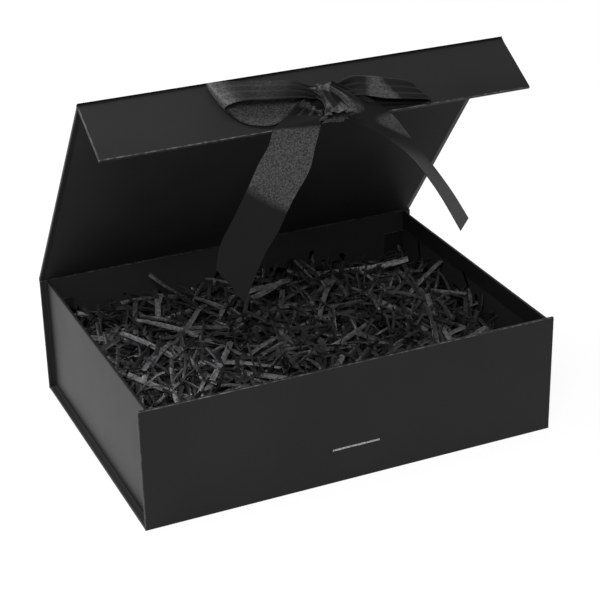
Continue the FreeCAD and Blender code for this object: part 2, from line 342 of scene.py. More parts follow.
def board_finish(name, colour):
    """Raw grey board with flecks of fibre."""
    board = Shader(name)
    flecks = board.span(board.grain(scale=900, detail=4, stretch=(1, 1, 3)), 0, 1, first=0.38, last=0.62)
    board.give(
        Base_Color=board.mix(flecks, shade(colour, 0.75), shade(colour, 1.2)),
        Roughness=0.9,
        Specular_IOR_Level=0.15,
        Normal=board.bump(board.grain(scale=1400, detail=4), strength=0.5, distance=0.15 * MM),
    )
    return board.material


def satin_finish(name, colour):
    """Black satin: fine cross threads, and a grainy painted highlight: where the ribbon is lit, its base
    colour is made up to ten times paler.
    """
    satin = Shader(name)
    grain = satin.grain(scale=820, detail=3)
    threads = satin.grain(scale=1.0, detail=1, stretch=(900, 5200, 1), space="UV")
    # Painted highlight: the attribute marks where the ribbon is lit; there the satin's grain is mixed in and
    # the base colour goes from dark to pale
    shimmer = satin.span(satin.attribute("shimmer"), 0, 1, first=0.4, last=0.6)
    speckle = satin.product(satin.span(grain, 0.25, 1, first=0.38, last=0.64), shimmer)
    relief = satin.bump(threads, strength=0.12, distance=0.06 * MM)
    relief = satin.bump(satin.product(grain, shimmer), strength=0.5, distance=0.25 * MM, below=relief)
    satin.give(
        Base_Color=satin.mix(speckle, shade(colour, 0.2), shade(colour, 1.95)),
        Roughness=satin.span(grain, 0.42, 0.58),
        Specular_IOR_Level=0.09,
        Sheen_Weight=0.02,
        Sheen_Roughness=0.35,
        Normal=relief,
    )
    return satin.material


def shred_finish(name, colour):
    """Thin black tissue, crumpled and waxy, with a painted glint: some shreds get patches up to six times
    paler, in place of glossy highlights.
    """
    shred = Shader(name)
    # The shade attribute is each strip's tone for the painted glint
    glint_tone = shred.attribute("shade")
    crumple = shred.grain(scale=300, detail=4)
    relief = shred.bump(shred.grain(scale=1300, detail=3), strength=0.25, distance=0.1 * MM)
    # Painted glint: shreds with a tone over one half get paler patches along them, standing in for glossy
    # highlights
    pale = shred.product(shred.span(glint_tone, 0, 1, first=0.5, last=1), shred.span(crumple, 0.1, 1))
    shred.give(
        Base_Color=shred.mix(pale, shade(colour, 0.75), shade(colour, 6.3)),
        Roughness=shred.span(crumple, 0.28, 0.52),
        Specular_IOR_Level=0.2,
        Normal=shred.bump(crumple, strength=0.75, distance=1.0 * MM, below=relief),
    )
    return shred.material


def tape_finish(name):
    """Clear double-sided tape on black paper."""
    tape = Shader(name)
    clouds = tape.span(tape.grain(scale=120), 0, 1)
    tape.give(
        Base_Color=tape.mix(clouds, (0.10, 0.10, 0.09, 1), (0.14, 0.14, 0.13, 1)),
        Roughness=tape.span(tape.grain(scale=300), 0.35, 0.5),
    )
    return tape.material


def steel_finish(name):
    """Nickel-plated steel with turned marks."""
    steel = Shader(name)
    marks = steel.grain(scale=700, detail=3, stretch=(1, 1, 8))
    steel.give(
        Base_Color=steel.mix(steel.span(marks, 0, 1), (0.50, 0.49, 0.47, 1), (0.64, 0.63, 0.61, 1)),
        Metallic=1.0,
        Roughness=steel.span(marks, 0.22, 0.38),
    )
    return steel.material


def material(name, make, *values):
    """The named material, made when it is first asked for."""
    return bpy.data.materials.get(name) or make(name, *values)


def cover_paper():
    paper = bpy.context.scene.gift_box_paper
    return material(
        "matte_wrapping", paper_finish, paper.cover_colour, paper.gloss, COVER_ROUGHNESS, paper.worn_and_glint_colour)


def lining_paper():
    paper = bpy.context.scene.gift_box_paper
    gloss = LINING_GLOSS * paper.gloss
    return material("matte_lining", paper_finish, paper.lining_colour, gloss, LINING_ROUGHNESS)


def raw_board():
    return material("raw_board", board_finish, bpy.context.scene.gift_box_paper.board_colour)


def torn_fibres():
    colour = bpy.context.scene.gift_box_paper.board_colour
    return material("torn_fibres", board_finish, shade(colour, TORN_SHADE))


def ribbon_satin():
    return material("ribbon_satin", satin_finish, bpy.context.scene.gift_box_ribbon.colour)


def shred_paper():
    return material("shred_paper", shred_finish, bpy.context.scene.gift_box_fill.colour)


def new_object(name, mesh):
    """A mesh object at the origin, in the scene."""
    piece = bpy.data.objects.new(name, mesh)
    bpy.context.scene.collection.objects.link(piece)
    return piece


def new_mesh(name, verts, faces, smooth=True):
    """A mesh from its points and faces."""
    mesh = bpy.data.meshes.new(name)
    mesh.from_pydata([tuple(point) for point in verts], [], faces)
    mesh.polygons.foreach_set("use_smooth", [smooth] * len(faces))
    return mesh


def grid_faces(rows, columns):
    """Faces of a grid with a number of steps each way."""
    faces = []
    for i in range(rows):
        for j in range(columns):
            a = i * (columns + 1) + j
            faces.append((a, a + 1, a + columns + 2, a + columns + 1))
    return faces


def tube_faces(rows, around):
    """Faces of a tube made of rings with a number of points around."""
    faces = []
    for i in range(rows):
        for j in range(around):
            k = (j + 1) % around
            faces.append((i * around + j, i * around + k, (i + 1) * around + k, (i + 1) * around + j))
    return faces


def painted(mesh, finish):
    """Give a mesh one material."""
    mesh.materials.clear()
    mesh.materials.append(finish)


def applied(piece):
    """Replace an object's mesh by what its modifiers make of it, and remove them."""
    graph = bpy.context.evaluated_depsgraph_get()
    mesh = bpy.data.meshes.new_from_object(piece.evaluated_get(graph))
    piece.modifiers.clear()
    old = piece.data
    piece.data = mesh
    mesh.name = piece.name
    bpy.data.meshes.remove(old)
    return piece


def thickened(piece, thickness, offset):
    """Give a sheet its thickness."""
    solid = piece.modifiers.new("thickness", "SOLIDIFY")
    solid.thickness = thickness
    solid.offset = offset
    solid.use_even_offset = True
    applied(piece)
    piece.data.set_sharp_from_angle(angle=SHARP_ANGLE)
    return piece


def dressed(piece, body, nodes, finish):
    """Finish a piece: material, material slot, the nodes that it stands for and the body that it rides on."""
    painted(piece.data, finish)
    if nodes:
        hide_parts(*nodes)
    if body is not None:
        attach(piece, body)
    return piece


def panel_matrix(origin, along_u, along_v):
    """Matrix from a panel's own axes (u across, v along, w inwards) to the frame."""
    along_w = along_u.cross(along_v)
    columns = Matrix((along_u, along_v, along_w)).transposed().to_4x4()
    return Matrix.Translation(origin) @ columns


def facing(bm, w_sign, level):
    """Flat faces of a panel that look outwards (-1) or inwards (1) at a level."""
    flat = []
    for face in bm.faces:
        if face.normal.z * w_sign > SAME_WAY and abs(face.calc_center_median().z - level) < PAPER / 4:
            flat.append(face)
    return flat


def cut_faces(bm, faces, point, normal):
    """Split some flat faces along a plane."""
    edges = {e for f in faces for e in f.edges}
    verts = {v for f in faces for v in f.verts}
    geometry = [*faces, *sorted(edges, key=lambda e: e.index), *sorted(verts, key=lambda v: v.index)]
    bm.edges.index_update()
    bm.verts.index_update()
    bmesh.ops.bisect_plane(bm, geom=geometry, plane_co=point, plane_no=normal)


def open_window(bm, w_sign, level, u_span, v_span):
    """Cut a rectangular opening in a panel's outer or inner face."""
    for u in u_span:
        if u is not None:
            cut_faces(bm, facing(bm, w_sign, level), (u, 0, 0), (1, 0, 0))
    for v in v_span:
        if v is not None:
            cut_faces(bm, facing(bm, w_sign, level), (0, v, 0), (0, 1, 0))

    def between(value, span):
        return (span[0] is None or value > span[0]) and (span[1] is None or value < span[1])

    inside = []
    for face in facing(bm, w_sign, level):
        centre = face.calc_center_median()
        if between(centre.x, u_span) and between(centre.y, v_span):
            inside.append(face)
    bmesh.ops.delete(bm, geom=inside, context="FACES")


def wrapped_panel(name, matrix, u_span, v_span, free, rubbed_and_glint, slit=None):
    """Paper wrapped round one board: rounded free edges, turned in on the inside.

    free names the sides that the paper goes round: "left", "right" and "end". rubbed is how pale the end's
    edges are, and the long sides get their share of it.
    slit is the middle and size of a ribbon slit in the outer face: (v, length, width).
    """
    bm = bmesh.new()
    wear = bm.faces.layers.float.new("wear")
    u0, u1 = u_span
    v0, v1 = v_span
    v0 -= END_CLEARANCE
    if "end" not in free:
        v1 += END_CLEARANCE
    if "left" not in free:
        u0 -= END_CLEARANCE
        u1 += END_CLEARANCE
    box = Matrix.Translation(((u0 + u1) / 2, (v0 + v1) / 2, WRAPPED / 2))
    box = box @ Matrix.Diagonal((u1 - u0, v1 - v0, WRAPPED, 1))
    bmesh.ops.create_cube(bm, size=1, matrix=box)
    sides = {"left": Vector((-1, 0, 0)), "right": Vector((1, 0, 0)), "end": Vector((0, 1, 0))}
    bm.normal_update()
    chosen = []
    for edge in bm.edges:
        normals = [f.normal for f in edge.link_faces]
        round_it = any(n.dot(sides[s]) > SAME_WAY for n in normals for s in free)
        at_crease = any(abs(n.y) > SAME_WAY and (n.y < 0 or "end" not in free) for n in normals)
        at_joint = "left" not in free and any(abs(n.x) > SAME_WAY for n in normals)
        if round_it and not at_crease and not at_joint:
            chosen.append(edge)
    made = bmesh.ops.bevel(
        bm, geom=chosen, offset=EDGE_ROUND, segments=EDGE_STEPS, profile=0.5, affect="EDGES")
    for face in made["faces"]:
        face.smooth = True
        at_end = "end" in free and face.calc_center_median().y > v1 - 2 * EDGE_ROUND
        face[wear] = rubbed_and_glint if at_end else rubbed_and_glint * SIDE_SHARE
    bm.normal_update()
    if "end" not in free:
        for face in bm.faces:
            if face.normal.y > SAME_WAY:
                face[wear] = FULL_WEAR
    if slit is not None:
        middle, length, width = slit
        open_window(bm, -1, 0, (-length / 2, length / 2), (middle - width / 2, middle + width / 2))
    turned_u = (u0 + TURN_IN if "left" in free else None, u1 - TURN_IN if "right" in free else None)
    turned_v = (None, v1 - TURN_IN if "end" in free else None)
    open_window(bm, 1, WRAPPED, turned_u, turned_v)
    bm.transform(matrix)
    mesh = bpy.data.meshes.new(name)
    bm.to_mesh(mesh)
    bm.free()
    return thickened(new_object(name, mesh), PAPER, -1)


def folded_strip(name, profile, thickness, rubbed_and_glint=0.0, painted_glint_front=0.0):
    """Paper strip over the whole width, from a line of points in the side view.

    The last two arguments are how pale it is made on the whole and on the side that looks to the front; on the
    hinge this paleness is a painted glint of the crease.
    """
    verts = []
    for point in profile:
        verts.append(point - AXIS_X * HALF_WIDTH)
        verts.append(point + AXIS_X * HALF_WIDTH)
    mesh = new_mesh(name, verts, grid_faces(len(profile) - 1, 1))
    mesh.attributes.new("wear", "FLOAT", "FACE")
    strip = thickened(new_object(name, mesh), thickness, 0)
    # Paleness per face; on the hinge strip it is a painted glint of the crease
    wear = strip.data.attributes["wear"].data
    for face in strip.data.polygons:
        wear[face.index].value = painted_glint_front if face.normal.y < -0.5 else rubbed_and_glint
    return strip


def rounded_corner(start, corner, end, radius, steps):
    """Line from start to end that goes round the corner in a smooth bend."""
    first = corner + (start - corner).normalized() * radius
    last = corner + (end - corner).normalized() * radius
    line = [start]
    for i in range(steps + 1):
        t = i / steps
        line.append(first * (1 - t) ** 2 + corner * 2 * t * (1 - t) + last * t ** 2)
    line.append(end)
    return line


class GIFTBOX_OT_case(bpy.types.Operator):
    """Wrap the boards of the case and the side walls in paper"""

    bl_idname = "gift_box.case"
    bl_label = "Case panels"

    def execute(self, context):
        width = (-HALF_WIDTH, HALF_WIDTH)
        front_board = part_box("front_board")
        spine_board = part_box("spine_board")
        base = panel_matrix(Vector((0, BASE_LOW.y, BASE_LOW.z)), AXIS_X, AXIS_Y)
        front = panel_matrix(Vector((0, FRONT_LOW.y, 0)), -AXIS_X, AXIS_Z)
        spine = panel_matrix(Vector((0, SPINE_HIGH.y, 0)), AXIS_X, AXIS_Z)
        lid = panel_matrix(LID_CREASE, AXIS_X, LID_AXIS)
        flap = panel_matrix(FOLD, AXIS_X, FLAP_AXIS)
        sides = ("left", "right")
        all_round = ("left", "right", "end")
        front_slit = (FRONT_SLIT_AT, SLIT_LENGTH, SLIT_WIDTH)
        flap_slit = (FLAP_SLIT_AT, SLIT_LENGTH, SLIT_WIDTH)
        panels = (
            ("base", "box", base, (0, BASE_HIGH.y - BASE_LOW.y), sides, FAINT_WEAR, None),
            ("front", "box", front, (front_board[0].z, FRONT_HIGH.z), all_round, FULL_WEAR, front_slit),
            ("spine", "box", spine, (spine_board[0].z, SPINE_HIGH.z), sides, FAINT_WEAR, None),
            ("lid", "lid", lid, (CREASE, LID_REACH - CREASE), sides, LID_WEAR, None),
            ("flap", "flap", flap, (FLAP_START, FLAP_LENGTH), all_round, FULL_WEAR, flap_slit),
        )
        for name, body, matrix, v_span, free, rubbed_and_glint, slit in panels:
            wrap = wrapped_panel(f"{name}_wrap", matrix, width, v_span, free, rubbed_and_glint, slit)
            dressed(wrap, body, [f"{name}_cover"], cover_paper())
            self.finish_nodes(name)
        for name, along_u in (("left", AXIS_Y), ("right", -AXIS_Y)):
            low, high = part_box(f"{name}_wall_cover")
            outer = low.x if name == "left" else high.x
            matrix = panel_matrix(Vector((outer, 0, 0)), along_u, AXIS_Z)
            spans = ((low.y, high.y), (low.z, high.z))
            wrap = wrapped_panel(f"{name}_wall_wrap", matrix, *spans, ("end",), RIM_WEAR)
            dressed(wrap, "box", [f"{name}_wall_cover"], cover_paper())
            self.finish_nodes(f"{name}_wall")
        self.frayed_slit(front, *front_slit)
        return {"FINISHED"}

    @staticmethod
    def frayed_slit(matrix, middle, length, width):
        """Pale torn fibres round the front slit, from just outside its rim down into it."""
        count = 150
        level = 0.08 * MM
        thickness = 0.1 * MM
        outwards, outward_spread = -0.3 * MM, 0.3 * MM
        inwards, inward_spread = 0.95 * MM, 0.2 * MM
        outer = []
        inner = []
        for i in range(count):
            along = 2 * (length + width) * i / count
            if along < length:
                spot, out = Vector((along - length / 2, -width / 2, 0)), Vector((0, -1, 0))
            elif along < length + width:
                spot, out = Vector((length / 2, along - length - width / 2, 0)), Vector((1, 0, 0))
            elif along < 2 * length + width:
                spot, out = Vector((1.5 * length + width - along, width / 2, 0)), Vector((0, 1, 0))
            else:
                spot, out = Vector((-length / 2, 2 * length + 1.5 * width - along, 0)), Vector((-1, 0, 0))
            spot.y += middle
            torn = noise.noise(Vector((i * 0.37, 2.3, 0.7)))
            ragged = noise.noise(Vector((i * 0.53, 8.1, 4.9)))
            lift = AXIS_Z * level
            outer.append(matrix @ (spot + out * (outwards + outward_spread * torn) - lift))
            inner.append(matrix @ (spot - out * (inwards + inward_spread * ragged) + lift))
        faces = tube_faces(1, count)
        mesh = new_mesh("front_slit_fibres", outer + inner, faces, smooth=False)
        fibres = thickened(new_object("front_slit_fibres", mesh), thickness, 0)
        dressed(fibres, "box", [], torn_fibres())

    @staticmethod
    def finish_nodes(panel):
        """Give the board and the liner of a panel their own material."""
        for layer, finish in (("board", raw_board), ("liner", lining_paper)):
            painted(frame["nodes"][f"{panel}_{layer}"].data, finish())


class GIFTBOX_OT_creases(bpy.types.Operator):
    """Make the paper folds between the panels"""

    bl_idname = "gift_box.creases"
    bl_label = "Creases"

    def execute(self, context):
        for name in ("front_crease", "back_crease"):
            painted(frame["nodes"][name].data, cover_paper())
        self.hinge()
        self.flap_fold()
        return {"FINISHED"}

    def hinge(self):
        """Two folds of the hinge strip: one to the spine, one to the lid."""
        low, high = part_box("lid_hinge_strip")
        thickness = high.y - low.y
        middle_y = (low.y + high.y) / 2
        halfway = Vector((0, middle_y, (low.z + high.z) / 2))
        foot = Vector((0, middle_y, low.z))
        # Both folds get a painted glint of the crease, stronger on the lower fold's side that looks to the
        # front
        lower = folded_strip("hinge_lower_fold", [foot, halfway], thickness, HINGE_PAINTED_GLINT, HINGE_FOOT_PAINTED_GLINT)
        dressed(lower, None, ["lid_hinge_strip"], cover_paper())
        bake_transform(lower)
        corner = Vector((0, middle_y, high.z))
        lid_start = LID_CREASE + LID_AXIS * CREASE + LID_INWARD * thickness / 2
        bend, steps = 0.4 * MM, 4
        line = rounded_corner(halfway, corner, lid_start, bend, steps)
        upper = folded_strip("hinge_upper_fold", line, thickness, HINGE_PAINTED_GLINT, HINGE_PAINTED_GLINT)
        dressed(upper, None, ["lid_hinge_strip"], cover_paper())
        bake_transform(upper)

    def flap_fold(self):
        """Rounded fold of the cover paper between the lid and the flap."""
        sink, steps = PAPER / 2, 6
        start = FOLD - LID_AXIS * CREASE + LID_INWARD * sink
        corner = FOLD + (LID_INWARD + FLAP_INWARD) * sink
        end = FOLD + FLAP_AXIS * FLAP_START + FLAP_INWARD * sink
        line = rounded_corner(start, corner, end, CREASE, steps)
        fold = folded_strip("flap_fold_paper", line, PAPER)
        dressed(fold, None, ["flap_crease"], cover_paper())
        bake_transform(fold)


class GIFTBOX_OT_hardware(bpy.types.Operator):
    """Finish the tabs, tapes, feet, magnets and catch plates"""

    bl_idname = "gift_box.hardware"
    bl_label = "Tabs and magnets"

    def execute(self, context):
        tape = material("tape_film", tape_finish)
        steel = material("plated_steel", steel_finish)
        for name, node in frame["nodes"].items():
            if name.endswith(("_tab", "_foot")):
                painted(node.data, cover_paper())
            elif name.endswith("_tape"):
                painted(node.data, tape)
            elif name in ("flap_magnets", "front_catch_plates"):
                painted(node.data, steel)
        return {"FINISHED"}


# Gathers: the share of its width below which the ribbon puckers, the part of the spare width that the puckers
# take, and their phase
GATHER_FROM = 0.72
GATHER_SHARE = 0.9
GATHER_PHASE = 0.6


def smooth_line(points, steps):
    """Smooth curve through points, with a number of steps between each two."""
    padded = np.vstack([2 * points[0] - points[1], points, 2 * points[-1] - points[-2]])
    line = []
    for i in range(len(points) - 1):
        p0, p1, p2, p3 = padded[i:i + 4]
        for t in np.arange(steps) / steps:
            bend = 2 * p0 - 5 * p1 + 4 * p2 - p3
            twist = 3 * p1 - p0 - 3 * p2 + p3
            line.append(p1 + 0.5 * t * (p2 - p0 + t * (bend + t * twist)))
    line.append(points[-1])
    return np.array(line)


def on_flap(u, v, h):
    """Point on the flap: u along the width, v from the fold, h above the outer face, in millimetres."""
    return np.array(FOLD + AXIS_X * u * MM + FLAP_AXIS * v * MM + FLAP_OUTWARD * h * MM)


def ribbon_piece(name, first_edge, second_edge, crown, shimmer, pleats=3.0, steps=8, across=30):
    """Strip of ribbon between two edges, and its length.

    first_edge and second_edge are points in metres, and crown is how far the middle stands out at each point,
    in millimetres. The fifth argument is the painted highlight at the first and second edge of each point,
    paler where lit.
    Where the edges are much closer than the ribbon is wide, the spare width goes into gathers.
    """
    ribbon = bpy.context.scene.gift_box_ribbon
    first = smooth_line(np.array(first_edge), steps)
    second = smooth_line(np.array(second_edge), steps)
    hill = smooth_line(np.array([[c] for c in crown], float) * MM, steps)
    share = np.linspace(0, 1, across + 1)
    surface = first[:, None, :] * (1 - share[:, None]) + second[:, None, :] * share[:, None]
    along = np.gradient((first + second) / 2, axis=0)
    normal = np.cross(along, second - first)
    normal /= np.maximum(np.linalg.norm(normal, axis=1, keepdims=True), 1e-9)
    apart = np.linalg.norm(second - first, axis=1)
    spare = np.sqrt(np.maximum((GATHER_FROM * ribbon.width) ** 2 - apart ** 2, 0))
    gather = GATHER_SHARE * spare / (4 * pleats)
    waves = gather[:, None] * np.cos(2 * np.pi * pleats * share + GATHER_PHASE)
    relief = hill * 4 * share * (1 - share) + waves
    surface = surface + normal[:, None, :] * relief[:, :, None]
    rows, columns = surface.shape[:2]
    mesh = new_mesh(name, surface.reshape(-1, 3), grid_faces(rows - 1, columns - 1))
    # Painted highlight across the strip, from its first edge to its second
    painted_highlight_share = smooth_line(np.array(shimmer, float), steps)
    painted_highlight_share = painted_highlight_share[:, :1] * (1 - share) + painted_highlight_share[:, 1:] * share
    mesh.attributes.new("shimmer", "FLOAT", "POINT").data.foreach_set("value", painted_highlight_share.ravel())
    middle = (first + second) / 2
    across_ribbon = (second - first) / apart[:, None]
    pace = np.cross(np.diff(middle, axis=0), (across_ribbon[1:] + across_ribbon[:-1]) / 2)
    lengths = np.concatenate([[0], np.cumsum(np.linalg.norm(pace, axis=1))])
    flat = mesh.uv_layers.new(name="ribbon")
    for loop in mesh.loops:
        i, j = divmod(loop.vertex_index, columns)
        flat.data[loop.index].uv = (ribbon.width * j / (columns - 1), lengths[i])
    piece = thickened(new_object(name, mesh), ribbon.thickness, 0)
    return piece, float(lengths[-1])


# The bow's loops, from the knot round the tip and back, in millimetres: back edge and front edge (u, v, h),
# crown, and painted highlight at both edges: paler where a loop is lit, and inside the left loop under the top
# strand's shade
LEFT_LOOP = (
    ((-1, 25, 8), (-4, 36, 8), 0, (0, 0)),
    ((-16, 17, 9), (-16, 35.5, 11.5), 0.5, (0.44, 0.3)),
    ((-38, 11, 7), (-38, 32.5, 12), 0.8, (0.49, 0.45)),
    ((-56, 7.5, 7), (-55, 29.5, 11.5), 0.8, (0.46, 0.45)),
    ((-67, 5, 6.5), (-64, 28.5, 9.5), 0.8, (0.7, 0.7)),
    ((-72, 3.5, 4.5), (-68, 28, 6), 0.8, (1, 1)),
    ((-71, 3.5, 1.6), (-67, 29, 2.4), 0.4, (1, 0.4)),
    ((-57, 6, 1.2), (-57, 41, 1.6), 0, (1.2, 0.54)),
    ((-36, 11, 1.4), (-38, 46.5, 2), 0, (1.2, 0.54)),
    ((-15, 18, 3), (-19, 38, 4.5), 0, (1.2, 0.4)),
    ((-2, 25, 5), (-4, 33, 5), 0, (0.4, 0)),
)
RIGHT_LOOP = (
    ((17, 24, 8), (19, 36, 8), 0, (0, 0.2)),
    ((30, 20, 9), (32, 40, 10.5), 0.5, (0, 0.4)),
    ((46, 23, 8.5), (47, 46, 10.5), 0.8, (0.55, 0.9)),
    ((62, 28, 8), (66, 50, 10), 0.8, (0, 0)),
    ((71, 31, 6.5), (78, 51.5, 8.5), 0.8, (0, 0)),
    ((74, 32, 4), (81.5, 52, 5.5), 0.8, (0, 0)),
    ((72, 31, 1.6), (79, 51, 2.2), 0.4, (0, 0)),
    ((60, 27, 1.2), (64, 48, 1.6), 0, (0, 0)),
    ((42, 22, 1.4), (44, 45, 2), 0, (0, 0)),
    ((28, 22, 3), (29, 40, 4.5), 0, (0, 0)),
    ((18, 25, 5), (19, 34, 5), 0, (0, 0)),
)

# Hanging tails, from the flap's edge down, in millimetres: left and right edge, and painted highlight at both,
# paler on the lit upper part
LEFT_TAIL = (
    ((-40, -72, 263), (-5, -73, 260), (0.6, 0.6)),
    ((-45, -74, 253), (-12, -79, 248), (1, 1)),
    ((-53, -76, 243), (-19, -84, 234), (1, 1)),
    ((-64, -79, 226), (-33, -86, 215), (0.45, 0.7)),
    ((-76, -80, 206), (-42, -81, 192), (0, 0)),
    ((-86, -82, 191), (-53, -81, 176), (0, 0)),
    ((-90, -83, 173), (-69, -81, 143), (0, 0)),
)
RIGHT_TAIL = (
    ((17, -74, 264), (50, -73, 262), (0.2, 0.5)),
    ((26, -83, 259), (56, -77, 254), (0, 1)),
    ((38, -89, 251), (68, -77, 237), (0, 0.3)),
    ((56, -94, 234), (85, -75, 215), (0, 0)),
    ((75, -97, 207), (101, -74, 192), (0, 0)),
    ((95, -97, 172), (115, -73, 169), (0, 0)),
)


class GIFTBOX_OT_bow(bpy.types.Operator):
    """Tie the bow on the flap: band, loops and knot"""

    bl_idname = "gift_box.bow"
    bl_label = "Bow"

    def execute(self, context):
        ribbon = context.scene.gift_box_ribbon
        for name, stations in (("left", LEFT_LOOP), ("right", RIGHT_LOOP)):
            back = [on_flap(*s[0]) for s in stations]
            front = [on_flap(*s[1]) for s in stations]
            crown = [s[2] for s in stations]
            shimmer = [s[3] for s in stations]
            loop, length = ribbon_piece(f"bow_{name}_loop", back, front, crown, shimmer)
            dressed(loop, "flap", [f"ribbon_{name}_loop"], ribbon_satin())
        self.knot(ribbon)
        self.band(ribbon)
        return {"FINISHED"}

    def knot(self, ribbon):
        """Gathered knot: a wound, pleated sleeve with ruffled ends."""
        turns, rows = 72, 26
        wound = 60 * MM
        # The sleeve on the flap, in millimetres: its length, middle, height and shift to the right, its radius
        # at the waist, what flare, lumps and frill add to it, and how low it may reach
        length, middle, level, offset = 27.0, 38.5, 5.6, 7.0
        waist, flare, lumps, frill, lowest = 6.6, 3.2, 0.9, 2.4, 0.8
        stretch, squash, folds = 1.2, 0.58, 10
        verts = []
        painted_highlight_share = []
        for i in range(rows + 1):
            t = i / rows
            end = abs(2 * t - 1)
            for j in range(turns):
                angle = 2 * math.pi * j / turns
                wobble = noise.noise(Vector((math.cos(angle) * 1.3, math.sin(angle) * 1.3, 3.1 * t)))
                wave = math.sin(folds * angle + 1.6 * math.sin(2.2 * t) + 2.5 * wobble)
                ruffle = (0.3 + frill * end ** 2.6) * wave
                hollow = 0.45 * (1 - end ** 2) * max(-math.cos(angle - 0.4), 0)
                radius = (waist + flare * end ** 2 + lumps * wobble) * (1 - hollow) + ruffle * 0.9
                drift = 2.2 * (t - 0.5) + 1.4 * end * noise.noise(Vector((5 + angle, 2.0, 9 * t)))
                u = offset + drift + radius * stretch * math.cos(angle)
                h = max(level + radius * squash * math.sin(angle), lowest)
                v = middle - length / 2 + length * t + 1.6 * end * wobble
                verts.append(on_flap(u, v, h))
                # Painted highlight: paler towards the knot's ruffled ends and on its right side
                painted_highlight_share.append(1.4 * end ** 1.5 + 0.6 * math.cos(angle) - 0.1)
        mesh = new_mesh("bow_knot", verts, tube_faces(rows, turns))
        mesh.attributes.new("shimmer", "FLOAT", "POINT").data.foreach_set("value", painted_highlight_share)
        flat = mesh.uv_layers.new(name="ribbon")
        for loop in mesh.loops:
            i, j = divmod(loop.vertex_index, turns)
            flat.data[loop.index].uv = (ribbon.width * i / rows, wound * j / turns)
        knot = thickened(new_object("bow_knot", mesh), ribbon.thickness, 0)
        dressed(knot, "flap", ["ribbon_knot"], ribbon_satin())

    def band(self, ribbon):
        """Ribbon through the flap's slit, along its inside and round its free edge."""
        slit_v = FLAP_SLIT_AT / MM
        edge_v = FLAP_LENGTH / MM
        inside = -2.6
        # Side view of the band, in millimetres: away from the fold, and above the flap's outer face
        path = (
            (slit_v, 1.2), (slit_v, inside + 0.4), (slit_v + 1.0, inside - 0.5), (edge_v - 4, inside - 0.5),
            (edge_v + 0.6, -1.3), (edge_v - 2, 0.5), (slit_v + 6, 0.6), (slit_v + 2, 2.2),
        )
        half = ribbon.width / MM / 2
        first = [on_flap(-half, v, h) for v, h in path]
        second = [on_flap(half, v, h) for v, h in path]
        level = [0] * len(path)
        plain = [(0, 0)] * len(path)
        band, length = ribbon_piece("bow_band", first, second, level, plain, steps=5, across=8)
        dressed(band, "flap", ["ribbon_band"], ribbon_satin())


class GIFTBOX_OT_tails(bpy.types.Operator):
    """Hang the ribbon's two tails over the flap's edge, one piece for each bend"""

    bl_idname = "gift_box.tails"
    bl_label = "Ribbon tails"

    # Where each tail leaves the knot, on the flap: left and right edge (u, v, h), and painted highlight at
    # both
    LEADS = {
        "left": (
            ((-11, 33, 7), (-3, 45, 6), (1, 1)),
            ((-23, 40, 4), (-2, 48, 5), (0, 0)),
            ((-35, 46.5, 2), (-4, 50, 3), (0, 0)),
        ),
        "right": (
            ((8, 31, 11), (12, 25, 11), (1, 0)),
            ((14, 40, 9.5), (26, 34, 8.5), (1, 0)),
            ((17, 48, 5), (42, 44, 4), (0.9, 0)),
        ),
    }
    STATIONS = {"left": LEFT_TAIL, "right": RIGHT_TAIL}
    LINKS = ("edge", "root", "upper", "end")
    # Drops below the flap's edge, in millimetres, at which one piece ends and the next begins
    SEAMS = (4.0, 14.0, 33.0)
    # Rows between two stations; in metres, how far a bend reaches from its joint and the shortest flat length
    ROWS = 14
    NEAR_REACH = 3.5 * MM
    FAR_REACH = 6 * MM
    EDGE_REACH = 4 * MM
    SHORTEST = 10 * MM

    def execute(self, context):
        ribbon = context.scene.gift_box_ribbon
        for name in ("left", "right"):
            self.tail(ribbon, name)
        return {"FINISHED"}

    def tail(self, ribbon, name):
        """One tail, cut into pieces that each cross one joint."""
        lead = [(on_flap(*a), on_flap(*b), shine) for a, b, shine in self.LEADS[name]]
        hanging = [(np.array(a) * MM, np.array(b) * MM, shine) for a, b, shine in self.STATIONS[name]]
        columns = [[station[k] for station in lead + hanging] for k in range(3)]
        left, right, shimmer = (smooth_line(np.array(column, float), self.ROWS) for column in columns)
        drop = JOINT_AT[f"{name}_tail_edge_swing"].z - (left[:, 2] + right[:, 2]) / 2
        on_top = len(lead) * self.ROWS
        drop[:on_top] = np.minimum(drop[:on_top], 0)
        cuts = [0]
        for seam in self.SEAMS:
            cuts.append(int(np.argmax(drop > seam * MM)))
        cuts.append(len(left) - 1)
        for i, link in enumerate(self.LINKS):
            body = f"{name}_tail_{link}"
            rows = slice(cuts[i], cuts[i + 1] + 1)
            level = np.zeros(cuts[i + 1] + 1 - cuts[i])
            piece, length = ribbon_piece(
                f"{body}_ribbon", left[rows], right[rows], level, shimmer[rows], steps=1)
            nodes = [body, f"{name}_tail_lead"] if link == "edge" else [body]
            dressed(piece, None, nodes, ribbon_satin())
            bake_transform(piece)


# Heap of shredded paper, in metres: its edge, crown and slopes, its lumps and how close they lie
HEAP_LOW, HEAP_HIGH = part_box("shred_fill")
HEAP_EDGE = 58 * MM
HEAP_CROWN = 12 * MM
HEAP_END_DROP = 6 * MM
HEAP_RIGHT_DROP = 7 * MM
HEAP_LUMP = 3.2 * MM
LUMPS_PER_METRE = 26
SHRED_PATTERNS = 12
SHRED_THICKNESS = 0.12 * MM


